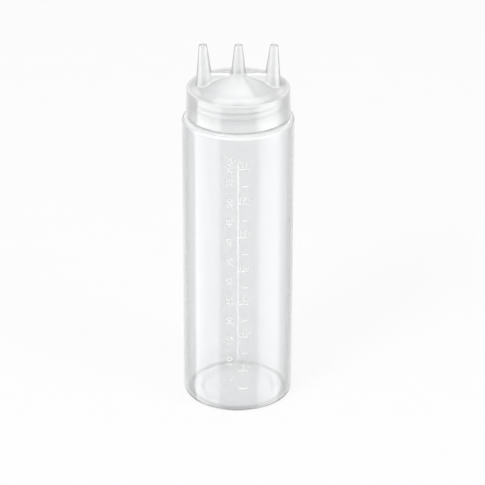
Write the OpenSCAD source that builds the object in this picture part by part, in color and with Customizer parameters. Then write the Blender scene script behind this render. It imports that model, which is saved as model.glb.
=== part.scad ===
// Squeeze bottle for sauce with a screw cap that has three pouring nozzles.
// The bottle stands on the XY plane with its axis on Z. The nozzles stand in a row along X, and the
// measuring scale faces -Y. All sizes are in millimetres.

/* [Body] */
// Outer diameter of the bottle body
body_d = 72; // [70:0.5:90]
// Thickness of the body's wall and floor
body_wall = 1.7; // [1.2:0.1:2.2]
// Height of the shoulder, where the neck begins
shoulder_z = 198.2; // [120:0.1:260]
// Radius of the rounded edge between the side and the shoulder
shoulder_round = 3; // [2.4:0.1:5]

/* [Foot] */
// Radius of the rounded edge at the foot of the body
foot_round = 3.2; // [2.4:0.1:5]
// Diameter of the recess in the middle of the foot
recess_d = 45; // [30:0.5:56]
// Depth of the recess above the standing ring
recess_depth = 1.5; // [0.5:0.1:4]

/* [Neck] */
// Outer diameter of the neck between the threads
neck_d = 60.2; // [56:0.1:62]
// Height of the neck from the shoulder to the rim
neck_h = 17.6; // [15:0.1:26]
// Thickness of the neck's wall
neck_wall = 1.6; // [1.2:0.1:2.2]

/* [Thread] */
// Rise of the thread in one full turn
pitch = 4.23; // [3.6:0.01:5]
// Height of a thread ridge above its wall
ridge_h = 1.2; // [0.8:0.1:1.5]
// Width of a ridge where it leaves its wall
ridge_root_w = 1.9; // [1.4:0.1:2]
// Width of a ridge along its crest
ridge_crest_w = 0.9; // [0.5:0.1:1]
// Distance from the shoulder up to the middle of the neck thread's start
thread_low = 6; // [5:0.1:7]
// Distance from the end of the neck thread up to the rim
thread_margin = 3.1; // [2:0.1:4]
// Turns of thread inside the cap
cap_turns = 1.5; // [1:0.25:1.5]
// Direction in which both threads start, counted from +X
thread_start = -28; // [-180:1:180]
// Radial gap between each crest and the wall that it faces
thread_gap = 0.35; // [0.25:0.05:0.5]
// Gap along Z between the flanks of the two threads
flank_gap = 0.2; // [0.1:0.05:0.3]

/* [Cap] */
// Thickness of the skirt at its upper edge
skirt_wall = 1.4; // [1:0.1:2]
// How much wider the skirt's radius is at its lower edge
skirt_flare = 0.6; // [0:0.1:1]
// Gap between the skirt's lower edge and the shoulder
skirt_gap = 1.8; // [1:0.1:3]
// Radius of the skirt's upper outer edge
rim_round = 0.6; // [0.3:0.1:1]
// Thickness of the top
top_wall = 1.5; // [1.2:0.1:2]
// Width of the flat ring around the cone
land_w = 6; // [5.6:0.1:7.5]
// Height of the cone, up to where it would reach the middle nozzle
cone_h = 9.2; // [6:0.1:12]

/* [Nozzles] */
// Distance between neighbouring nozzle tips
nozzle_spacing = 22.5; // [18:0.1:23]
// Height of the tips above the flat ring
nozzle_h = 28.4; // [20:0.1:40]
// Outer diameter of a nozzle at its tip
tip_d = 5; // [4.4:0.1:6]
// Outer diameter that a nozzle has level with the flat ring
nozzle_base_d = 11.6; // [10:0.1:12]
// Thickness of a nozzle's wall
nozzle_wall = 1.3; // [0.9:0.1:1.6]
// Radius of the rounded edge around a tip
tip_round = 0.9; // [0.3:0.1:1]
// Outward lean of the two outer nozzles in degrees
nozzle_lean = 2.3; // [0:0.1:4]

/* [Bar] */
// Width of the bar that joins the nozzles
bar_w = 4.6; // [4:0.1:6]
// Height of the bar's top above the flat ring
bar_h = 9.3; // [7:0.1:12]
// Radius of the bar's long upper edges
bar_round = 1; // [0.4:0.1:1.6]
// Thickness of the bar's walls around its channel
bar_wall = 1.3; // [0.9:0.1:1.5]

/* [Seal] */
// Thickness of the sealing ring between the rim and the cap
seal_t = 0.8; // [0.5:0.1:1.5]
// Gap between the sealing ring and the skirt around it
seal_gap = 0.35; // [0.2:0.05:0.5]
// How far the ring stays back from the neck's bore
seal_setback = 0.2; // [0:0.05:0.4]

/* [Scale] */
// Volume between two marks in millilitres, which is one and a half fluid ounces
mark_volume = 44.36; // [20:0.01:100]
// Height at which the scale counts from zero
scale_zero = 8.2; // [4:0.1:20]
// Height of a mark above the wall
mark_relief = 0.35; // [0.2:0.05:0.5]
// Width of a mark's line
mark_w = 0.8; // [0.5:0.1:1.2]
// Distance from the upright line's middle to the far end of every mark
mark_end = 6.5; // [5:0.1:12]
// Distance from the upright line's middle to the near end of a short mark
short_start = 2.5; // [2:0.1:4.4]
// Distance that the upright line runs past its first and last mark
line_overrun = 4.4; // [2:0.1:6]
// How much further apart the marks below the upright line stand
low_spread = 1.1; // [0:0.1:2]

/* [Hidden] */
$fn = 96;

// Bottle radii and levels
body_r = body_d / 2;
bore_r = body_r - body_wall;
neck_r = neck_d / 2;
mouth_r = neck_r - neck_wall;
rim_z = shoulder_z + neck_h;
standing_edge = 1;

// Thread, shared by neck and cap
neck_turns = (neck_h - thread_low - thread_margin) / pitch;
ridge_sink = 0.3;
ridge_steps = 40;
fade_turns = 1 / 15;
least_fade = 0.12;
thread_z = shoulder_z + thread_low;
cap_thread_z = thread_z - (ridge_root_w + ridge_crest_w) / 2 - flank_gap;

// Cap radii and levels
cap_bore_r = neck_r + ridge_h + thread_gap;
skirt_r = cap_bore_r + skirt_wall;
skirt_z = shoulder_z + skirt_gap;
ceiling_z = rim_z + seal_t;
land_z = ceiling_z + top_wall;
cone_r = skirt_r - land_w;
nozzle_taper = (nozzle_base_d - tip_d) / 2 / nozzle_h;
middle_r = tip_d / 2 + nozzle_taper * (nozzle_h - cone_h);
cone_slope = cone_h / (cone_r - middle_r);
cone_drop = top_wall * sqrt(1 + cone_slope * cone_slope);
tip_z = land_z + nozzle_h;

// Measuring scale
ml = 1000;
mark_step = mark_volume * ml / (PI * bore_r * bore_r);
bare_top = 8;
scale_top = shoulder_z - shoulder_round - bare_top;
mark_count = floor((scale_top - scale_zero) / mark_step);
first_lined_mark = 3;
function mark_z(count) = scale_zero + count * mark_step - low_spread * max(0, first_lined_mark - count);

// Distance that a cutting shape runs past the solid that it cuts
over = 1;

// A slice of the half profile of a round vessel: a column with rounded outer corners
module column_profile(radius, low, high, low_round, high_round) {
    middle = (low + high) / 2;
    translate([0, low + low_round]) square([radius, high - low - low_round - high_round]);
    translate([0, low]) square([radius - low_round, middle - low]);
    translate([0, middle]) square([radius - high_round, high - middle]);
    translate([radius - low_round, low + low_round]) circle(low_round);
    translate([radius - high_round, high - high_round]) circle(high_round);
}

// Right half of the plane, which trims a profile at the axis
module right_half() {
    translate([0, -over]) square([body_d, tip_z + 2 * over]);
}

// One point of a thread ridge: radius, direction and height
function around(radius, angle, z) = [radius * cos(angle), radius * sin(angle), z];

// Share of its full height that a ridge has, so that it fades out at both ends
function fade(turned, turns) = max(least_fade, min(1, turned / fade_turns, (turns - turned) / fade_turns));

// Corners of a ridge's cross-section; side is 1 for a ridge that faces out and -1 for one that faces in
function ridge_section(wall_r, side, share, angle, z) = [
    around(wall_r - side * ridge_sink, angle, z - side * ridge_root_w / 2),
    around(wall_r + side * ridge_h * share, angle, z - side * ridge_crest_w / 2),
    around(wall_r + side * ridge_h * share, angle, z + side * ridge_crest_w / 2),
    around(wall_r - side * ridge_sink, angle, z + side * ridge_root_w / 2)
];

// Helical ridge on a round wall, rising to the right as a right-hand thread does
module thread_ridge(wall_r, side, low, turns) {
    sections = ceil(turns * ridge_steps);
    rows = [
        for (i = [0:sections])
            let (turned = turns * i / sections, angle = thread_start + 360 * turned)
            ridge_section(wall_r, side, fade(turned, turns), angle, low + pitch * turned)
    ];
    corners = len(rows[0]);
    points = [for (row = rows) each row];
    faces = [
        [0, 2, 1],
        [0, 3, 2],
        for (i = [0:sections - 1], k = [0:corners - 1])
            let (a = i * corners + k, b = i * corners + (k + 1) % corners)
            each [[a, b + corners, a + corners], [a, b, b + corners]],
        [for (k = [0, 1, 2]) sections * corners + k],
        [for (k = [0, 2, 3]) sections * corners + k]
    ];
    polyhedron(points, faces);
}

// Outer and inner outline of the bottle, from the foot to the rim
module bottle_profile() {
    intersection() {
        difference() {
            union() {
                column_profile(body_r, 0, shoulder_z, foot_round, shoulder_round);
                translate([0, shoulder_z - body_wall]) square([neck_r, neck_h + body_wall]);
            }
            recess(recess_d / 2, recess_depth, standing_edge);
            difference() {
                union() {
                    column_profile(bore_r, body_wall, shoulder_z - body_wall,
                        foot_round - body_wall, shoulder_round - body_wall);
                    translate([0, shoulder_z - 2 * body_wall]) square([mouth_r, neck_h + 3 * body_wall]);
                }
                recess(recess_d / 2 + body_wall, recess_depth + body_wall, standing_edge + body_wall / 2);
            }
        }
        right_half();
    }
}

// Profile of the raised middle of the foot
module recess(radius, height, edge_round) {
    translate([0, -over]) square([radius, height + over - edge_round]);
    translate([0, -over]) square([radius - edge_round, height + over]);
    translate([radius - edge_round, height - edge_round]) circle(edge_round);
}

// Block that cuts one stretch of the scale out of the ring of raised material
module mark_block(from, to, low, high) {
    translate([from, -body_r - over, low]) cube([to - from, body_r / 2, high - low]);
}

// Upright line with long and short marks to its right, raised above the wall
module scale_marks() {
    intersection() {
        difference() {
            cylinder(h = shoulder_z, r = body_r + mark_relief);
            translate([0, 0, -over]) cylinder(h = shoulder_z + 2 * over, r = body_r - body_wall / 2);
        }
        union() {
            line_low = mark_z(first_lined_mark) - line_overrun;
            line_high = mark_z(mark_count) + line_overrun;
            mark_block(-mark_w / 2, mark_w / 2, line_low, line_high);
            for (count = [1:mark_count])
                mark_block(
                    count % 2 == 0 || count < first_lined_mark ? 0 : short_start, mark_end,
                    mark_z(count) - mark_w / 2, mark_z(count) + mark_w / 2
                );
        }
    }
}

module bottle() {
    color([0.93, 0.94, 0.95, 0.55]) {
        rotate_extrude() bottle_profile();
        thread_ridge(neck_r, 1, thread_z, neck_turns);
        scale_marks();
    }
}

// Flat ring that lies on the rim and is pressed by the cap
module neck_seal() {
    color([0.97, 0.97, 0.96, 0.8])
        translate([0, 0, rim_z])
            difference() {
                cylinder(h = seal_t, r = cap_bore_r - seal_gap);
                translate([0, 0, -over]) cylinder(h = seal_t + 2 * over, r = mouth_r + seal_setback);
            }
}

// Outer outline of the cap without its nozzles
module cap_shell_profile() {
    polygon([
        [0, skirt_z],
        [skirt_r + skirt_flare, skirt_z],
        [skirt_r, land_z - rim_round],
        [0, land_z - rim_round]
    ]);
    translate([0, land_z - 2 * rim_round]) square([skirt_r - rim_round, 2 * rim_round]);
    translate([skirt_r - rim_round, land_z - rim_round]) circle(rim_round);
    polygon([
        [0, land_z - rim_round],
        [cone_r, land_z - rim_round],
        [cone_r, land_z],
        [middle_r / 2, land_z + cone_h + cone_slope * middle_r / 2],
        [0, land_z + cone_h + cone_slope * middle_r / 2]
    ]);
}

// Outline of the space under the cap
module cap_hollow_profile() {
    translate([0, skirt_z - over]) square([cap_bore_r, ceiling_z - skirt_z + over]);
    ceiling_r = cone_r - (cone_drop - top_wall) / cone_slope;
    polygon([
        [0, ceiling_z - over],
        [ceiling_r, ceiling_z - over],
        [ceiling_r, ceiling_z],
        [middle_r, land_z + cone_h - cone_drop],
        [0, land_z + cone_h - cone_drop]
    ]);
}

// Places a nozzle that stands at level zero with its tip at nozzle_h; side is -1, 0 or 1
module at_nozzle(side) {
    translate([side * nozzle_spacing, 0, tip_z])
        rotate([0, side * nozzle_lean, 0])
            translate([0, 0, -nozzle_h])
                children();
}

// Tapered outside of a nozzle with a rounded tip
module nozzle_body() {
    rotate_extrude()
        intersection() {
            union() {
                polygon([
                    [0, 0],
                    [nozzle_base_d / 2, 0],
                    [tip_d / 2 + nozzle_taper * tip_round, nozzle_h - tip_round],
                    [0, nozzle_h - tip_round]
                ]);
                translate([0, nozzle_h - 2 * tip_round]) square([tip_d / 2 - tip_round, 2 * tip_round]);
                translate([tip_d / 2 - tip_round, nozzle_h - tip_round]) circle(tip_round);
            }
            translate([0, -over]) square([nozzle_base_d, nozzle_h + 2 * over]);
        }
}

// Tapered bore of a nozzle, from the given depth below the flat ring out past the tip
module nozzle_bore(depth) {
    translate([0, 0, -depth])
        cylinder(
            h = depth + nozzle_h + over,
            r1 = nozzle_base_d / 2 - nozzle_wall + nozzle_taper * depth,
            r2 = tip_d / 2 - nozzle_wall - nozzle_taper * over
        );
}

// Solid bar along X with rounded long upper edges, up to the given height above the flat ring
module bar(width, height, edge_round) {
    length = 2 * nozzle_spacing - tip_d;
    tall = height + top_wall;
    translate([-length / 2, 0, land_z])
        rotate([90, 0, 90])
            linear_extrude(length) {
                translate([-width / 2, -top_wall]) square([width, tall - edge_round]);
                translate([edge_round - width / 2, -top_wall]) square([width - 2 * edge_round, tall]);
                for (side = [-1, 1])
                    translate([side * (width / 2 - edge_round), height - edge_round]) circle(edge_round);
            }
}

module screw_cap() {
    color([0.93, 0.94, 0.95, 0.55]) {
        difference() {
            union() {
                rotate_extrude() intersection() {
                    cap_shell_profile();
                    right_half();
                }
                bar(bar_w, bar_h, bar_round);
                for (side = [-1, 0, 1]) at_nozzle(side) nozzle_body();
            }
            rotate_extrude() cap_hollow_profile();
            bar(bar_w - 2 * bar_wall, bar_h - bar_wall, (bar_w - 2 * bar_wall) / 4);
            for (side = [-1, 0, 1]) at_nozzle(side) nozzle_bore(top_wall + over);
        }
        thread_ridge(cap_bore_r, -1, cap_thread_z, cap_turns);
    }
}

bottle();
neck_seal();
screw_cap();
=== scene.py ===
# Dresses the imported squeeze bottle: a translucent bottle with a raised measuring scale, its sealing
# ring and the screw cap with three nozzles. Shapes are worked out in millimetres, as in the CAD, and
# written in metres.
import math

import bmesh
import bpy
import numpy as np
from mathutils import Matrix, Vector


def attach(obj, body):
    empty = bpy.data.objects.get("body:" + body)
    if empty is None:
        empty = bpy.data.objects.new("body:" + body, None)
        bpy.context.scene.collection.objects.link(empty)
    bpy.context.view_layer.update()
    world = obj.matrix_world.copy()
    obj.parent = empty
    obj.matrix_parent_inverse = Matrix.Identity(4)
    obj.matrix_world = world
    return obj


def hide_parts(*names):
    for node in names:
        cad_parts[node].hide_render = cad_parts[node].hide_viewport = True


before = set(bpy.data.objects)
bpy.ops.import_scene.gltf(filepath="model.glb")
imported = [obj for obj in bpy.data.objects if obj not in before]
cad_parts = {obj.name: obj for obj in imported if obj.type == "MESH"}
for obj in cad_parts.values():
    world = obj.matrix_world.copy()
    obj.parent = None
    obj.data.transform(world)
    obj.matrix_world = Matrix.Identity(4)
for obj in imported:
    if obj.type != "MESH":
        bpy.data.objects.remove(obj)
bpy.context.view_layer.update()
MM = 0.001

# ---------------------------------------------------------------- sizes, as in the CAD
BODY_R, BORE_R = 36.0, 34.3
SHOULDER_Z, RIM_Z = 198.2, 215.8
NECK_R, MOUTH_R = 30.1, 28.5
FOOT_ROUND, SHOULDER_ROUND = 3.2, 3.0
RECESS_R, RECESS_D = 22.5, 1.5
PITCH, RIDGE_H, RIDGE_ROOT, RIDGE_CREST = 4.23, 1.2, 1.9, 0.9
THREAD_START, THREAD_Z, NECK_TURNS = -28.0, 204.2, 8.5 / 4.23
CAP_THREAD_Z, CAP_TURNS, FADE = 202.6, 1.5, 1 / 15
CAP_BORE, SKIRT_R, SKIRT_FLARE, SKIRT_Z = 31.65, 33.05, 0.6, 200.0
CEILING_Z, LAND_Z, CONE_R, CONE_H = 216.6, 218.1, 27.05, 9.2
TIP_Z, TIP_R, NOZZLE_H, NOZZLE_BASE_R = 246.5, 2.5, 28.4, 5.8
NOZZLE_X, NOZZLE_WALL, LEAN = 22.5, 1.3, math.radians(2.3)
BAR_W, BAR_H, BAR_WALL = 4.6, 9.3, 1.3
TAPER = (NOZZLE_BASE_R - TIP_R) / NOZZLE_H
MIDDLE_R = TIP_R + TAPER * (NOZZLE_H - CONE_H)
CONE_SLOPE = CONE_H / (CONE_R - MIDDLE_R)
CONE_DROP = 1.5 * math.hypot(1, CONE_SLOPE)
MARK_VOLUME = 44360  # mm3, 1.5 fl oz
SCALE_ZERO, MARK_STEP, MARKS = 8.2, MARK_VOLUME / (math.pi * BORE_R ** 2), 14
MARK_W, MARK_END, SHORT_START, OVERRUN = 0.8, 6.5, 2.5, 4.4
LINED, LOW_SPREAD = 3, 1.1
RELIEF, LIFT = 0.3, 0.02
FLOOR_Z, BORE_TOP, BORE_ROUND, INNER_SHOULDER_ROUND = 3.2, 195.2, 1.5, 1.3
NECK_SPAN, MOUTH_SPAN, RIDGE_STEP = (199.3, 215.2), (215.3, 197.4), 0.2
RECESS_ROUND, RECESS_LIP, NECK_FILLET, RIM_ROUND, MOUTH_ROUND, MOUTH_FLARE = 1, 0.45, 0.9, 0.5, 0.4, 0.8
WALL_WAVE, SAME = 0.13, 1e-6


# ---------------------------------------------------------------- shader helpers
def cleared(block):
    """The block's empty node tree."""
    block.use_nodes = True
    block.node_tree.nodes.clear()
    return block.node_tree


def node(tree, kind, inputs=None, **props):
    """A new node with its properties set, and its inputs linked or set."""
    n = tree.nodes.new(kind)
    for key, value in props.items():
        setattr(n, key, value)
    for key, value in (inputs or {}).items():
        if isinstance(value, bpy.types.NodeSocket):
            tree.links.new(value, n.inputs[key])
        else:
            n.inputs[key].default_value = value
    return n


def maths(tree, operation, a, b=0.0):
    return node(tree, "ShaderNodeMath", {0: a, 1: b}, operation=operation).outputs[0]


def ramp(tree, factor, stops):
    """Grey levels or colours by the factor, from stops of (place, value)."""
    n = node(tree, "ShaderNodeValToRGB", {"Fac": factor})
    points = n.color_ramp.elements
    while len(points) < len(stops):
        points.new(0.5)
    for point, (where, value) in zip(points, stops):
        point.position = where
        point.color = (*value, 1) if isinstance(value, tuple) else (value, value, value, 1)
    return n.outputs["Color"]


def span(tree, value, start, end, low=0.0, high=1.0, **props):
    """low up to where value is start, high from where it is end on, and even steps between."""
    n = node(tree, "ShaderNodeMapRange", {"Value": value, "From Min": start, "From Max": end,
                                          "To Min": low, "To Max": high}, **props)
    return n.outputs["Result"]


def noise(tree, where, scale, detail=2.0, roughness=0.5, stretch=(1, 1, 1)):
    """Noise from 0 to 1, with the pattern squeezed along each axis by stretch."""
    place = node(tree, "ShaderNodeMapping", {"Vector": where, "Scale": stretch}).outputs[0]
    n = node(tree, "ShaderNodeTexNoise", {"Vector": place, "Scale": scale, "Detail": detail,
                                          "Roughness": roughness})
    return n.outputs["Fac"]


RING_BLUR, LEVEL_BLUR, LEAST_LEFT = 0.2, 0.3, 0.1


def window(tree, value, low, high, blur):
    """1 where value, in metres, lies between low and high in mm, falling to 0 over the blur outside."""
    rise = span(tree, value, (low - blur) * MM, low * MM)
    fall = span(tree, value, (high + blur) * MM, high * MM)
    return maths(tree, "MULTIPLY", rise, fall)


def plastic(name, light, dark, edge, milk, haze, skin, coat, grain, flow, ior, coat_ior, flow_stretch=(1, 1, 1),
            painted_shading_rings=()):
    """Translucent moulded plastic. light and dark are the two tints that cloud into each other. edge says,
    at two heights in mm, from what slant colour is lost, and how much of it where the wall is seen edge
    on: partly the longer path through the plastic, partly painted shade. milk is the share of light that
    each outer face scatters, haze the range of blur in what shows through, skin that of the surface's own
    gloss and coat its strength, grain the height of its fine texture and flow that of its soft waves, both
    in metres. flow_stretch squeezes the pattern along each axis. The last argument lists rings of painted
    shade and painted light: range of radius and of height in mm, the colour lost there, below zero for
    painted light, and the milk added there, which paints light too."""
    material = bpy.data.materials.new(name)
    tree = cleared(material)
    where = node(tree, "ShaderNodeTexCoord").outputs["Object"]
    cloud = noise(tree, where, 55, 3, 0.55, flow_stretch)
    tint = ramp(tree, cloud, [(0.3, dark), (0.7, light)])
    # Partly painted shade: the colour darkens where the wall is seen edge on, partly for the longer path through
    # the plastic, and more on the nozzles to paint their dark outlines.
    facing = node(tree, "ShaderNodeLayerWeight", {"Blend": 0.5}).outputs["Facing"]
    height = node(tree, "ShaderNodeSeparateXYZ", {0: where}).outputs[2]
    (low, low_start, low_loss), (high, high_start, high_loss) = edge
    start = span(tree, height, low * MM, high * MM, low_start, high_start)
    most = span(tree, height, low * MM, high * MM, low_loss, high_loss)
    side_on = span(tree, facing, start, 1.0, interpolation_type="SMOOTHSTEP")
    loss = maths(tree, "MULTIPLY", side_on, most)
    flat = node(tree, "ShaderNodeVectorMath", {0: where, 1: (1, 1, 0)}, operation="MULTIPLY").outputs[0]
    radius = node(tree, "ShaderNodeVectorMath", {0: flat}, operation="LENGTH").outputs["Value"]
    clear = 1 - milk
    # Rings of painted shade, and of painted light where the colour lost is below zero or milk is added.
    for (r_low, r_high), (z_low, z_high), lost, extra in painted_shading_rings:
        across = window(tree, radius, r_low, r_high, RING_BLUR)
        ring = maths(tree, "MULTIPLY", across, window(tree, height, z_low, z_high, LEVEL_BLUR))
        loss = maths(tree, "ADD", loss, maths(tree, "MULTIPLY", ring, lost))
        clear = maths(tree, "SUBTRACT", clear, maths(tree, "MULTIPLY", ring, extra))
    left = maths(tree, "MAXIMUM", maths(tree, "SUBTRACT", 1.0, loss), LEAST_LEFT)
    colour = node(tree, "ShaderNodeMix", {0: 1.0, 6: tint, 7: left}, data_type="RGBA", blend_type="MULTIPLY")
    patches = noise(tree, where, 140, 4, 0.6, flow_stretch)
    fine = noise(tree, where, 1500, 2)
    waves = noise(tree, where, 38, 2, 0.4, flow_stretch)
    bump = node(tree, "ShaderNodeBump", {"Strength": 1.0, "Distance": flow, "Height": waves}).outputs[0]
    bump = node(tree, "ShaderNodeBump", {"Strength": 1.0, "Distance": grain, "Height": fine, "Normal": bump})
    within = node(tree, "ShaderNodeNewGeometry").outputs["Backfacing"]
    shader = node(tree, "ShaderNodeBsdfPrincipled", {
        "Base Color": colour.outputs[2], "Roughness": span(tree, patches, 0, 1, *haze), "Normal": bump.outputs[0],
        "IOR": ior, "Transmission Weight": span(tree, within, 0, 1, clear, 1.0),
        "Coat Weight": span(tree, within, 0, 1, coat, 0.0), "Coat Roughness": span(tree, patches, 0, 1, *skin),
        "Coat IOR": coat_ior, "Coat Normal": bump.outputs[0]})
    node(tree, "ShaderNodeOutputMaterial", {"Surface": shader.outputs[0]})
    return material


body_mat = plastic(
    "bottle_plastic", light=(0.912, 0.917, 0.922), dark=(0.898, 0.904, 0.91),
    edge=((4, 0.5, 0.35), (190, 0.5, 0.35)), milk=0.33, haze=(0.08, 0.14), skin=(0.05, 0.11), coat=0.7,
    grain=0.000004, flow=0.00012, ior=1.3, coat_ior=1.5, flow_stretch=(1, 1, 0.12),
    painted_shading_rings=[((31.1, 32), (200.8, 215.4), 0.65, 0),      # painted shade on the neck under the cap, over its threads
           ((29.6, 32.4), (-1, 2.2), 0.5, 0),          # painted shade line at the inner corner of the foot
           ((22.6, 23.8), (-1, 2.2), 0.3, 0),          # painted shade line at the step of the recess
           ((35.6, 36.4), (3.2, 3.7), 0.3, 0),         # painted shade line at the top of the foot's rounding
           ((32.2, 36.4), (196.2, 198.4), -0.09, 0.05),  # painted highlight on the shoulder's rounding
           ((28.3, 30.4), (212.5, 216), -0.08, 0),     # painted light on the rim
           ((31.2, 34.2), (197.8, 200.6), -0.15, 0.2)])  # painted light against the shade at the corner of shoulder and neck
# Painted light on the cone and the bar between the nozzles: a little colour gained and milk added.
CONE_PAINTED_LIGHT = (220, 228.4), -0.03, 0.035
cap_mat = plastic(
    "cap_plastic", light=(0.952, 0.955, 0.958), dark=(0.937, 0.941, 0.945),
    edge=((217, 0.6, 0.3), (221, 0.22, 0.7)), milk=0.44, haze=(0.29, 0.36), skin=(0.02, 0.05), coat=1.0,
    grain=0.000004, flow=0.00006, ior=1.28, coat_ior=1.6,
    painted_shading_rings=[((0, 40), (228.5, 249), 0.02, 0),           # slight painted shade on the nozzles
           ((0, 40), (245.7, 249), 0.1, 0),            # painted shade on their tips
           ((31, 34.3), (199.8, 200.5), -0.05, 0.05),  # painted light on the lower edge of the skirt
           ((31.2, 33.6), (217.4, 218.4), -0.04, 0.08),  # painted light on the upper edge of the skirt
           # painted light on the cone and the bar between the nozzles
           ((6, 19.5), *CONE_PAINTED_LIGHT), ((6, 21), *CONE_PAINTED_LIGHT), ((6, 22.5), *CONE_PAINTED_LIGHT)])
seal_mat = plastic(
    "seal_plastic", light=(0.975, 0.975, 0.972), dark=(0.95, 0.95, 0.947),
    edge=((210, 0.5, 0.1), (220, 0.5, 0.1)), milk=0.2, haze=(0.32, 0.42), skin=(0.35, 0.5), coat=1.0,
    grain=0.00002, flow=0.00005, ior=1.4, coat_ior=1.5)
mark_mat = plastic(
    "mark_plastic", light=(0.95, 0.95, 0.95), dark=(0.93, 0.93, 0.935),
    edge=((0, 0.5, 0.05), (190, 0.5, 0.05)), milk=0.85, haze=(0.3, 0.36), skin=(0.15, 0.25), coat=1.0,
    grain=0.00001, flow=0.00003, ior=1.3, coat_ior=1.5)


# ---------------------------------------------------------------- mesh helpers
def put(name, points, faces, material, body, replaces, normals=None):
    """A smooth mesh from points in millimetres, riding on a body and standing for a CAD node."""
    mesh = bpy.data.meshes.new(name)
    mesh.from_pydata((np.asarray(points, float) * MM).tolist(), [], faces)
    mesh.validate()
    mesh.shade_smooth()
    if normals is not None:
        mesh.normals_split_custom_set_from_vertices(normals.tolist())
    mesh.materials.append(material)
    piece = bpy.data.objects.new(name, mesh)
    bpy.context.scene.collection.objects.link(piece)
    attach(piece, body)
    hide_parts(replaces)
    return piece


def arc(cx, cz, radius, start, end, steps):
    """Points (r, z) on an arc, angles in degrees from the +r direction towards +z."""
    a = np.radians(np.linspace(start, end, steps))
    return list(zip(cx + radius * np.cos(a), cz + radius * np.sin(a)))


def revolve(profile, angles, shift):
    """Closed grid around Z from an outline (r, z) that starts and ends on the axis. shift(r, z, angle)
    gives how far each point moves along r. Returns points, faces and normals."""
    profile = np.array(profile, float)
    r, z = profile[:, 0], profile[:, 1]
    step = np.hypot(np.diff(r), np.diff(z))
    keep = np.r_[True, step > SAME]
    r, z = r[keep], z[keep]
    run = np.r_[0, np.cumsum(np.hypot(np.diff(r), np.diff(z)))]
    rows, cols = len(r), len(angles)
    A, R, Z = np.tile(angles, (rows, 1)), np.tile(r, (cols, 1)).T, np.tile(z, (cols, 1)).T
    R = R + shift(R, Z, A)
    P = np.stack([R * np.cos(A), R * np.sin(A), Z], -1)
    along = np.gradient(P, run, axis=0, edge_order=1)
    wrapped = np.concatenate([P[:, -1:], P, P[:, :1]], 1)
    around = wrapped[:, 2:] - wrapped[:, :-2]
    N = np.cross(around, along)
    N /= np.maximum(np.linalg.norm(N, axis=-1, keepdims=True), 1e-12)
    ends = [(0, 0, z[0]), (0, 0, z[-1])]
    inner = P[1:-1].reshape(-1, 3)
    points = np.concatenate([inner, ends])
    up = np.sign(N[1, 0, 2]), np.sign(N[-2, 0, 2])
    normals = np.concatenate([N[1:-1].reshape(-1, 3), [(0, 0, up[0]), (0, 0, up[1])]])
    faces = []
    for i in range(rows - 3):
        a = i * cols
        for k in range(cols):
            n = (k + 1) % cols
            faces.append((a + k, a + n, a + cols + n, a + cols + k))
    first, last, tail = len(inner), len(inner) + 1, (rows - 3) * cols  # both ends close on the axis
    for k in range(cols):
        n = (k + 1) % cols
        faces.append((first, n, k))
        faces.append((last, tail + k, tail + n))
    return points, faces, normals


def helix(angle, z, low, turns):
    """For points around a helical ridge: distance along z from its middle, and its share of full height."""
    base = (np.degrees(angle) - THREAD_START) / 360 % 1
    turned = base + np.round((z - low) / PITCH - base)
    turned = np.clip(turned, base, base + np.floor(np.maximum(turns - base, 0)))
    share = np.clip(np.minimum(turned, turns - turned) / FADE, 0, 1)
    return z - (low + PITCH * turned), share


def soft(x):
    """Smooth step from 0 to 1."""
    x = np.clip(x, 0, 1)
    return x * x * (3 - 2 * x)


# ---------------------------------------------------------------- bottle
def bottle_outline():
    """The outer and the inner face as points (r, z), from the axis round to the axis again."""
    low, high = FOOT_ROUND, SHOULDER_Z - SHOULDER_ROUND
    side = [(BODY_R, z) for z in np.linspace(low, high, 60)[1:-1]]
    neck = [(NECK_R, z) for z in np.arange(*NECK_SPAN, RIDGE_STEP)]
    mouth = [(MOUTH_R, z) for z in np.linspace(*MOUTH_SPAN, 20)[1:-1]]
    inside = [(BORE_R, z) for z in np.linspace(BORE_TOP, FLOOR_Z, 60)[1:-1]]
    outer = [(r, RECESS_D) for r in (0, 8, 16, 20)]
    outer += arc(RECESS_R - RECESS_ROUND, RECESS_D - RECESS_ROUND, RECESS_ROUND, 90, 0, 8)
    outer += arc(RECESS_R + RECESS_LIP, RECESS_LIP, RECESS_LIP, 180, 270, 6)
    outer += [(24, 0), (28, 0), (31, 0)]
    outer += arc(BODY_R - FOOT_ROUND, low, FOOT_ROUND, -90, 0, 14) + side
    outer += arc(BODY_R - SHOULDER_ROUND, high, SHOULDER_ROUND, 0, 90, 14) + [(32.2, SHOULDER_Z)]
    outer += arc(NECK_R + NECK_FILLET, SHOULDER_Z + NECK_FILLET, NECK_FILLET, 270, 180, 7) + neck
    outer += arc(NECK_R - RIM_ROUND, RIM_Z - RIM_ROUND, RIM_ROUND, 0, 90, 6)
    outer += arc(MOUTH_R + MOUTH_ROUND, RIM_Z - MOUTH_ROUND, MOUTH_ROUND, 90, 180, 6)
    inner = mouth + arc(MOUTH_R + MOUTH_FLARE, 197.3, MOUTH_FLARE, 180, 270, 6) + [(31, 196.5)]
    inner += arc(33.0, BORE_TOP, INNER_SHOULDER_ROUND, 90, 0, 8) + inside
    inner += arc(32.8, FLOOR_Z, BORE_ROUND, 0, -90, 8) + [(30, 1.7), (27, 1.7)]
    inner += arc(25.4, 2.5, 0.8, 270, 225, 4) + arc(22.4, 1.35, 1.85, 30, 90, 8)
    inner += [(r, FLOOR_Z) for r in (18, 12, 6, 0)]
    return outer, inner


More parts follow.
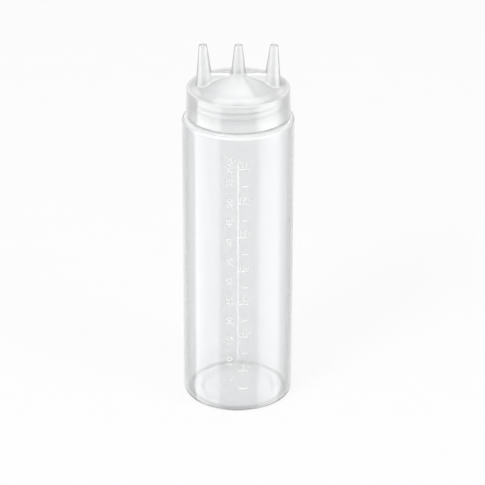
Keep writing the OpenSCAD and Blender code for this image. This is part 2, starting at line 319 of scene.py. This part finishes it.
def bottle_shift(r, z, angle):
    """Neck thread, and the slow changes of wall thickness that a blown wall has."""
    gap, share = helix(angle, z, THREAD_Z, NECK_TURNS)
    half, crest, spare = RIDGE_ROOT / 2, RIDGE_CREST / 2, 0.15
    ridge = RIDGE_H * soft(share) * soft((half + spare - np.abs(gap)) / (half - crest + spare))
    move = np.where((np.abs(r - NECK_R) < SAME) & (z > SHOULDER_Z + 1), ridge, 0.0)
    inside = np.abs(r - BORE_R) < SAME
    level = soft((z - FLOOR_Z) / 18) * soft((BORE_TOP - z) / 14)  # no waves near the floor and the shoulder
    waves = (0.5 * np.sin(2 * angle + 0.9 + 0.011 * z) + 0.32 * np.sin(3 * angle - 0.4 - 0.02 * z)
             + 0.22 * np.sin(5 * angle + 2.0 + 0.034 * z) + 0.12 * np.sin(9 * angle + 0.045 * z)
             + 0.16 * np.sin(0.09 * z + 1.3 * np.cos(angle)))
    return np.where(inside, WALL_WAVE * level * waves, move)


outer, inner = bottle_outline()
points, faces, normals = revolve(outer + inner, np.linspace(0, 2 * np.pi, 288, endpoint=False), bottle_shift)
put("bottle_body", points, faces, body_mat, "bottle", "bottle", normals)


# ---------------------------------------------------------------- measuring scale
def bent(points, angle, z, lift):
    """Flat points (across, up, out) wrapped round the body at that angle from the front and height."""
    points = np.asarray(points, float)
    a = angle + points[:, 0] / BODY_R
    r = BODY_R + lift + points[:, 2]
    return np.stack([r * np.sin(a), -r * np.cos(a), z + points[:, 1]], -1)


def strip(across, up, relief, cells):
    """Closed low pad with bevelled upper edges: (points, faces), flat, before it is bent. It is cut
    into cells across, so that it can bend."""
    bevel = relief * 0.6
    xs = np.linspace(across[0], across[1], cells + 1)
    points, faces = [], []
    rings = [(0, 0), (0, relief - bevel), (bevel, relief)]
    for inset, out in rings:
        row = np.clip(xs, across[0] + inset, across[1] - inset)
        points += [(x, up[0] + inset, out) for x in row] + [(x, up[1] - inset, out) for x in row[::-1]]
    n = 2 * (cells + 1)
    for ring in range(len(rings) - 1):
        for k in range(n):
            a, b = ring * n + k, ring * n + (k + 1) % n
            faces.append((a, b, b + n, a + n))
    top = (len(rings) - 1) * n
    for k in range(cells):
        faces.append((top + k, top + k + 1, top + n - 2 - k, top + n - 1 - k))
        faces.append((k + 1, k, n - 1 - k, n - 2 - k))
    return np.array(points), faces


def glyphs(text, height, width, relief, turned):
    """Flat raised lettering, width and height in mm, centred; turned makes it read upwards. It is cut
    into slices, so that it can bend."""
    curve = bpy.data.curves.new("glyphs", "FONT")
    curve.body, curve.align_x, curve.align_y = text, "CENTER", "CENTER"
    curve.extrude, curve.resolution_u = 0.5, 3
    holder = bpy.data.objects.new("glyphs", curve)
    bpy.context.scene.collection.objects.link(holder)
    mesh = bpy.data.meshes.new_from_object(holder.evaluated_get(bpy.context.evaluated_depsgraph_get()))
    b = bmesh.new()
    b.from_mesh(mesh)
    bmesh.ops.remove_doubles(b, verts=b.verts, dist=1e-5)
    co = np.array([v.co[:] for v in b.verts])
    low, high = co.min(0), co.max(0)
    size = high - low
    scale = np.array([width / size[0], height / size[1], relief / size[2]])
    middle = np.array([(low[0] + high[0]) / 2, (low[1] + high[1]) / 2, low[2]])
    for v, c in zip(b.verts, (co - middle) * scale):
        v.co = (-c[1], c[0], c[2]) if turned else c
    reach = (height if turned else width) / 2
    for x in np.arange(-reach + SLICE, reach, SLICE):
        everything = b.verts[:] + b.edges[:] + b.faces[:]
        bmesh.ops.bisect_plane(b, geom=everything, plane_co=(x, 0, 0), plane_no=(1, 0, 0))
    b.verts.ensure_lookup_table()
    b.verts.index_update()
    points = np.array([v.co[:] for v in b.verts])
    faces = [[v.index for v in f.verts] for f in b.faces]
    b.free()
    bpy.data.objects.remove(holder)
    bpy.data.curves.remove(curve)
    bpy.data.meshes.remove(mesh)
    return points, faces


SLICE = 0.7
LEFT_ANGLE, LEFT_HEIGHT, LEFT_WIDTH, LEFT_NARROW, MAX_WIDTH = math.radians(-8.6), 4.2, 5.9, 2.7, 10.8
LEFT_LOW, LEFT_WIDE_STEP, LEFT_STEP, MAX_Z = 23.9, 14.95, 14.13, 179.4
RIGHT_ANGLE, RIGHT_HEIGHT, RIGHT_WIDTH, RIGHT_NARROW, RIGHT_UP = 3.5 / BODY_R, 3.7, 4.5, 2.1, 3.1
OUNCE_ANGLE, OUNCE_HEIGHT, OUNCE_WIDTH, OUNCE_UP = 7.8 / BODY_R, 1.7, 2.6, 2.6
scale_points, scale_faces = [], []


def add_relief(shape, angle, z):
    """Puts a flat (points, faces) on the body, at that angle from the front and height."""
    start = sum(len(p) for p in scale_points)
    scale_points.append(bent(shape[0], angle, z, LIFT))
    scale_faces.extend([[i + start for i in f] for f in shape[1]])


def mark_z(count):
    """Height of a mark. Those below the upright line lie further apart."""
    return SCALE_ZERO + count * MARK_STEP - LOW_SPREAD * max(0, LINED - count)


line_low, line_high = mark_z(LINED) - OVERRUN, mark_z(MARKS) + OVERRUN
add_relief(strip((-MARK_W / 2, MARK_W / 2), (line_low, line_high), RELIEF, 2), 0, 0)
for count in range(1, MARKS + 1):
    start = SHORT_START
    if count < LINED:
        start = 0
    elif count % 2 == 0:
        start = MARK_W / 2 + 0.05  # just clear of the upright line
    add_relief(strip((start, MARK_END), (-MARK_W / 2, MARK_W / 2), RELIEF, 8), 0, mark_z(count))
for step in range(11):
    width = LEFT_WIDTH if step else LEFT_NARROW
    up = LEFT_LOW + LEFT_WIDE_STEP * min(step, 2) + LEFT_STEP * max(step - 2, 0)
    add_relief(glyphs(str(5 * (step + 1)), LEFT_HEIGHT, width, RELIEF, True), LEFT_ANGLE, up)
add_relief(glyphs("MAX", LEFT_HEIGHT, MAX_WIDTH, RELIEF, True), LEFT_ANGLE, MAX_Z)
for count in range(2, MARKS + 1, 2):
    label = str(3 * count // 2)
    width = RIGHT_WIDTH if len(label) > 1 else RIGHT_NARROW
    add_relief(glyphs(label, RIGHT_HEIGHT, width, RELIEF, False), RIGHT_ANGLE, mark_z(count) + RIGHT_UP)
    add_relief(glyphs("oz", OUNCE_HEIGHT, OUNCE_WIDTH, RELIEF, False), OUNCE_ANGLE, mark_z(count) + OUNCE_UP)
marks = put("scale_relief", np.concatenate(scale_points), scale_faces, mark_mat, "bottle", "bottle")
marks.data.shade_flat()


# ---------------------------------------------------------------- sealing ring
def ring_outline(low, high, inner_r, outer_r, edge):
    """Rectangle with rounded corners as points (r, z)."""
    near, far, low, high = inner_r + edge, outer_r - edge, low + edge, high - edge
    return (arc(near, low, edge, 180, 270, 4) + arc(far, low, edge, 270, 360, 4)
            + arc(far, high, edge, 0, 90, 4) + arc(near, high, edge, 90, 180, 4))


def tube(profile, cols):
    """Closed ring around Z from a closed outline (r, z)."""
    rows = len(profile)
    a = np.linspace(0, 2 * np.pi, cols, endpoint=False)
    points = [(r * c, r * s, z) for r, z in profile for c, s in zip(np.cos(a), np.sin(a))]
    faces = []
    for i in range(rows):
        j = (i + 1) % rows
        for k in range(cols):
            n = (k + 1) % cols
            faces.append((i * cols + k, i * cols + n, j * cols + n, j * cols + k))
    return points, faces


GAP, SEAL_INNER_R, SEAL_OUTER_R, SEAL_EDGE = 0.03, MOUTH_R + 0.2, CAP_BORE - 0.35, 0.15
points, faces = tube(ring_outline(RIM_Z + GAP, CEILING_Z - GAP, SEAL_INNER_R, SEAL_OUTER_R, SEAL_EDGE), 192)
put("seal_ring", points, faces, seal_mat, "seal", "neck_seal")


# ---------------------------------------------------------------- screw cap
def round_union(a, b, radius):
    """Distance to either of two bodies, with a fillet of that radius between them."""
    u, v = np.maximum(radius - a, 0), np.maximum(radius - b, 0)
    return np.maximum(radius, np.minimum(a, b)) - np.hypot(u, v)


def round_common(a, b, radius):
    """Distance to what two bodies have in common, with its edge rounded to that radius."""
    u, v = np.maximum(radius + a, 0), np.maximum(radius + b, 0)
    return np.minimum(-radius, np.maximum(a, b)) + np.hypot(u, v)


def bar_distance(x, y, z, half_w, top, radius):
    cross = round_common(np.abs(y) - half_w, z - top, radius)
    return round_common(cross, np.abs(x) - (NOZZLE_X - TIP_R), BAR_END_ROUND)


# Fillets and roundings of the cap, outside and inside.
LAND_FILLET, TOP_ROUND, BAR_ROUND, TIP_ROUND, NOZZLE_FILLET, FOOT_FILLET = 1.4, 1.3, 1.0, 0.9, 0.9, 0.8
CONE_FILLET_IN, CORNER_IN, CHANNEL_ROUND, BORE_END_ROUND, BORE_FILLET, CHANNEL_FILLET = 1.0, 0.5, 0.5, 0.3, 0.4, 0.5
BAR_END_ROUND, MOUTH_EDGE, SKIRT_EDGE = 0.2, 0.25, 0.45
THREAD_ROUND, THREAD_BACK, THREAD_BACK_ROUND, THREAD_FILLET, NO_THREAD = 0.25, 0.6, 0.1, 0.25, 5.0
BORE_OVERRUN = 2.5


def cap_distance(x, y, z):
    """Distance to the cap's surface in mm, negative inside the plastic."""
    r = np.hypot(x, y)
    skirt_top = LAND_Z - 0.6
    flare = SKIRT_FLARE / (skirt_top - SKIRT_Z)
    side = (r - SKIRT_R - flare * (skirt_top - z)) / math.hypot(1, flare)
    norm = math.hypot(1, CONE_SLOPE)
    cone = (z - LAND_Z - CONE_SLOPE * (CONE_R - r)) / norm
    shell = round_common(side, round_union(z - LAND_Z, cone, LAND_FILLET), TOP_ROUND)
    hollow_top = round_union(z - CEILING_Z, cone + CONE_DROP / norm, CONE_FILLET_IN)
    hollow = round_common(r - CAP_BORE, hollow_top, CORNER_IN)
    arms = bar_distance(x, y, z, BAR_W / 2, LAND_Z + BAR_H, BAR_ROUND)
    channel = bar_distance(x, y, z, BAR_W / 2 - BAR_WALL, LAND_Z + BAR_H - BAR_WALL, CHANNEL_ROUND)
    slant = 1 / math.hypot(1, TAPER)
    for side_x in (-1, 0, 1):
        ax, az = math.sin(side_x * LEAN), math.cos(side_x * LEAN)
        dx, dz = side_x * NOZZLE_X - x, TIP_Z - z
        along = dx * ax + dz * az
        out = np.sqrt(np.maximum(dx * dx + y * y + dz * dz - along * along, 0))
        body = round_common((out - TIP_R - TAPER * along) * slant, -along, TIP_ROUND)
        bore = (out - (TIP_R - NOZZLE_WALL) - TAPER * along) * slant
        bore = round_common(bore, along - NOZZLE_H - BORE_OVERRUN, BORE_END_ROUND)
        arms = round_union(arms, body, NOZZLE_FILLET)
        channel = round_union(channel, bore, BORE_FILLET)
    solid = round_union(shell, arms, FOOT_FILLET)
    space = round_union(hollow, channel, CHANNEL_FILLET)
    solid = round_common(solid, -space, MOUTH_EDGE)
    solid = round_common(solid, SKIRT_Z - z, SKIRT_EDGE)
    gap, share = helix(np.arctan2(y, x), z, CAP_THREAD_Z, CAP_TURNS)
    deep = CAP_BORE - r
    width = RIDGE_ROOT / 2 - (RIDGE_ROOT - RIDGE_CREST) / 2 * np.clip(deep / RIDGE_H, -0.3, 1.2)
    ridge = round_common(deep - RIDGE_H * share, (np.abs(gap) - width) * 0.9, THREAD_ROUND)
    ridge = round_common(ridge, -deep - THREAD_BACK, THREAD_BACK_ROUND)
    return round_union(solid, np.where(share > 0.02, ridge, NO_THREAD), THREAD_FILLET)


def surface(distance, axes):
    """The surface where distance is zero, by surface nets moved onto it exactly: points, quads, normals."""
    cell = max(np.diff(a).max() for a in axes)
    X, Y, Z = np.meshgrid(*axes, indexing="ij")
    field = distance(X, Y, Z)
    inside = field < 0
    shape = tuple(n - 1 for n in field.shape)
    total = np.zeros(shape + (3,))
    count = np.zeros(shape)
    corners = [(i, j, k) for i in (0, 1) for j in (0, 1) for k in (0, 1)]

    def part(values, corner):
        return values[tuple(slice(c, c + n) for c, n in zip(corner, shape))]

    for a in corners:
        for axis in range(3):
            if a[axis]:
                continue
            b = tuple(c + (axis == i) for i, c in enumerate(a))
            fa, fb = part(field, a), part(field, b)
            cross = part(inside, a) != part(inside, b)
            t = np.where(cross, fa / np.where(cross, fa - fb, 1), 0)
            for i in range(3):
                total[..., i] += np.where(cross, a[i] + (t if i == axis else 0), 0)
            count += cross
    cells = np.argwhere(count > 0)
    index = -np.ones(shape, int)
    index[tuple(cells.T)] = np.arange(len(cells))
    part_way = total[tuple(cells.T)] / count[tuple(cells.T)][:, None]
    points = np.stack([ax[c] + w * (ax[c + 1] - ax[c]) for ax, c, w in zip(axes, cells.T, part_way.T)], 1)
    quads = []
    for axis in range(3):
        u, v = (axis + 1) % 3, (axis + 2) % 3
        lead = [slice(1, -1)] * 3
        lead[axis] = slice(0, -1)
        ahead = list(lead)
        ahead[axis] = slice(1, None)
        a, b = inside[tuple(lead)], inside[tuple(ahead)]
        for way in (True, False):
            at = np.argwhere(a & ~b if way else ~a & b)
            offset = np.ones(3, int)
            offset[axis] = 0
            at = at + offset
            four = []
            for du, dv in ((1, 1), (0, 1), (0, 0), (1, 0)):
                c = at.copy()
                c[:, u] -= du
                c[:, v] -= dv
                four.append(index[tuple(c.T)])
            four = np.stack(four, 1)
            quads.append(four if way else four[:, ::-1])
    quads = np.concatenate(quads)

    def slope(p, e=0.02):
        g = [distance(*(p + e * d).T) - distance(*(p - e * d).T) for d in np.eye(3)]
        return np.stack(g, -1) / (2 * e)

    for _ in range(4):
        g = slope(points)
        f = distance(*points.T)
        move = -f[:, None] * g / np.maximum((g * g).sum(-1, keepdims=True), 0.25)
        points = points + np.clip(move, -cell / 2, cell / 2)
    g = slope(points, 0.05)
    return points, quads, g / np.maximum(np.linalg.norm(g, axis=1, keepdims=True), 1e-9)


def levels(low, high, fine_spans):
    """Grid lines from low to high, closer together inside the fine spans."""
    wide, narrow = CELLS
    stops, lines = [low], []
    for a, b in fine_spans:
        stops += [a, b]
    stops.append(high)
    for i, (a, b) in enumerate(zip(stops[:-1], stops[1:])):
        count = max(1, round((b - a) / (narrow if i % 2 else wide)))
        lines.append(np.linspace(a, b, count + 1)[:-1])
    return np.concatenate(lines + [[high]])


CELLS, QUICK_CELLS = (0.58, 0.27), (0.9, 0.45)
REACH, TIP_SPAN = 34.7, 3.1
LEFT_TIP, RIGHT_TIP = (-NOZZLE_X - TIP_SPAN, -NOZZLE_X + TIP_SPAN), (NOZZLE_X - TIP_SPAN, NOZZLE_X + TIP_SPAN)
grid = [levels(-REACH, REACH, [LEFT_TIP, (-TIP_SPAN, TIP_SPAN), RIGHT_TIP]),
        levels(-REACH, REACH, [(-TIP_SPAN, TIP_SPAN)]),
        levels(199.2, 247.6, [(216.8, 219.2), (243.5, 247.2)])]
points, quads, normals = surface(cap_distance, grid)
put("screw_cap_shell", points, quads.tolist(), cap_mat, "cap", "screw_cap", normals)


# ---------------------------------------------------------------- studio
def light_path(tree):
    p = node(tree, "ShaderNodeLightPath").outputs
    return p["Is Camera Ray"], p["Is Glossy Ray"], p["Is Transmission Ray"]


def azimuth(tree, x, y):
    """Direction around Z as a share: 0 and 1 behind the bottle, a half in front of it."""
    turn = maths(tree, "ARCTAN2", x, maths(tree, "MULTIPLY", y, -1.0))
    return maths(tree, "ADD", maths(tree, "MULTIPLY", turn, 1 / (2 * math.pi)), 0.5)


def product(tree, *factors):
    """Product of values, each from 0 to 1, and of a level."""
    total = factors[0]
    for factor in factors[1:]:
        total = maths(tree, "MULTIPLY", total, factor)
    return total


# Panels around the bottle as (degrees from the front, level): bright strips left and right, dark between.
SIDES = ((-180, 1.0), (-146, 1.0), (-132, 0.55), (-104, 0.55), (-96, 3.5), (-80, 3.2), (-42, 2.4), (-34, 0.35),
         (0, 0.3), (39, 0.35), (48, 2.8), (66, 3.5), (88, 3.5), (104, 1.2), (122, 0.55), (134, 0.55), (148, 1.0),
         (180, 1.0))
# Panel overhead, from left, 0, to right, 1: its sharp end draws the wedge on the cone.
ABOVE = ((0.0, 1.5), (0.35, 1.5), (0.43, 1.8), (0.5, 2.0), (0.612, 1.9), (0.614, 0.1), (0.65, 0.2), (0.67, 1.5),
         (1.0, 1.8))
TOP_LEVEL, PLAIN_LEVEL, FLOOR_SHARE = 5.0, 0.62, 0.86


def studio_world():
    """White for what is seen straight or through the plastic, large soft panels left, right and overhead
    for its gloss, and an even plain level for everything else."""
    world = bpy.data.worlds.new("studio")
    bpy.context.scene.world = world
    tree = cleared(world)
    camera, glossy, through = light_path(tree)
    split = node(tree, "ShaderNodeSeparateXYZ", {0: node(tree, "ShaderNodeTexCoord").outputs["Generated"]})
    x, y, z = split.outputs
    sides = ramp(tree, azimuth(tree, x, y), [((turn + 180) / 360, level / TOP_LEVEL) for turn, level in SIDES])
    above = ramp(tree, maths(tree, "ADD", maths(tree, "MULTIPLY", x, 0.5), 0.5),
                 [(where, level / TOP_LEVEL) for where, level in ABOVE])
    lift = ramp(tree, z, [(0.0, 0.0), (0.66, 0.0), (0.74, 1.0), (1.0, 1.0)])
    pattern = node(tree, "ShaderNodeMix", {0: lift, 6: sides, 7: above}, data_type="RGBA").outputs[2]
    panels = maths(tree, "MULTIPLY", pattern, TOP_LEVEL)
    front = span(tree, y, -0.02, -0.12)
    middle = span(tree, maths(tree, "ABSOLUTE", x), 0.2, 0.14)
    for panel in (product(tree, front, span(tree, z, 0.6, 0.7), 3.0),
                  product(tree, front, span(tree, z, -0.2, 0.0), 1.4),
                  product(tree, span(tree, y, 0.3, 0.5), span(tree, z, 0.3, 0.42), span(tree, z, 0.72, 0.62), 1.8),
                  product(tree, span(tree, y, 0.52, 0.58), middle, span(tree, z, 0.62, 0.72), 2.5)):
        panels = maths(tree, "MAXIMUM", panels, panel)
    level = node(tree, "ShaderNodeMix", {0: glossy, 2: PLAIN_LEVEL, 3: panels}, data_type="FLOAT").outputs[0]
    seen = maths(tree, "MAXIMUM", camera, through)
    strength = node(tree, "ShaderNodeMix", {0: seen, 2: level, 3: 1.0}, data_type="FLOAT").outputs[0]
    back = node(tree, "ShaderNodeBackground", {"Color": (1, 1, 1, 1), "Strength": strength})
    node(tree, "ShaderNodeOutputWorld", {"Surface": back.outputs[0]})
    world.cycles.sampling_method = "NONE"


def studio_floor():
    """A round sheet of pale paper just under the foot. Its shadow stays, and the rest is near white."""
    rings, cols, low = [0.02, 0.06, 0.12, 0.25, 0.5, 1, 2, 4, 8], 48, -0.0003
    a = np.linspace(0, 2 * np.pi, cols, endpoint=False)
    points = [(0, 0, low)] + [(r * c, r * s, low) for r in rings for c, s in zip(np.cos(a), np.sin(a))]
    faces = [(0, 1 + k, 1 + (k + 1) % cols) for k in range(cols)]
    for i in range(len(rings) - 1):
        for k in range(cols):
            n = (k + 1) % cols
            p, q = 1 + i * cols, 1 + (i + 1) * cols
            faces.append((p + k, q + k, q + n, p + n))
    mesh = bpy.data.meshes.new("floor")
    mesh.from_pydata(points, [], faces)
    floor = bpy.data.objects.new("floor", mesh)
    bpy.context.scene.collection.objects.link(floor)
    material = bpy.data.materials.new("floor_paper")
    tree = cleared(material)
    camera, _, through = light_path(tree)
    where = node(tree, "ShaderNodeTexCoord").outputs["Object"]
    paper = ramp(tree, noise(tree, where, 30, 4), [(0.3, 0.9), (0.7, 0.93)])
    matt = node(tree, "ShaderNodeBsdfDiffuse", {"Color": paper})
    white = node(tree, "ShaderNodeEmission", {"Color": (1, 1, 1, 1), "Strength": 1.0})
    share = maths(tree, "MULTIPLY", maths(tree, "MAXIMUM", camera, through), FLOOR_SHARE)
    mix = node(tree, "ShaderNodeMixShader", {0: share, 1: matt.outputs[0], 2: white.outputs[0]})
    node(tree, "ShaderNodeOutputMaterial", {"Surface": mix.outputs[0]})
    mesh.materials.append(material)
    floor.visible_glossy = False


def lamp(name, place, size, power):
    """A round lamp that points at the middle of the bottle."""
    data = bpy.data.lights.new(name, "AREA")
    data.shape, data.size, data.energy = "DISK", size, power
    holder = bpy.data.objects.new(name, data)
    holder.location = place
    holder.rotation_euler = (Vector((0, 0, 0.12)) - Vector(place)).to_track_quat("-Z", "Y").to_euler()
    holder.visible_glossy = False
    bpy.context.scene.collection.objects.link(holder)


def camera():
    """The photograph's camera, solved from the bottle's own circles. Its focal length is in pixels."""
    tilt, distance, roll = math.radians(26.248), 1675.4, math.radians(-0.181)
    focal, tx, tz, picture, sensor = 2559.9, 2.918, 107.363, 485, 36
    back = Vector((0, -math.cos(tilt), math.sin(tilt)))
    right = Vector((1, 0, 0))
    up = back.cross(right)
    across = right * math.cos(roll) - up * math.sin(roll)
    upward = right * math.sin(roll) + up * math.cos(roll)
    place = (Vector((tx, 0, tz)) + back * distance) * MM
    data = bpy.data.cameras.new("camera")
    data.sensor_width, data.lens = sensor, focal * sensor / picture
    data.clip_start, data.clip_end = 0.05, 50
    holder = bpy.data.objects.new("camera", data)
    holder.matrix_world = Matrix.Translation(place) @ Matrix((across, upward, back)).transposed().to_4x4()
    bpy.context.scene.collection.objects.link(holder)
    bpy.context.scene.camera = holder


studio_world()
studio_floor()
lamp("key", (-0.9, -1.2, 1.5), 0.7, 16)
lamp("fill", (1.3, -0.9, 1.0), 0.8, 8)
camera()
bpy.context.scene.view_settings.view_transform = "Standard"
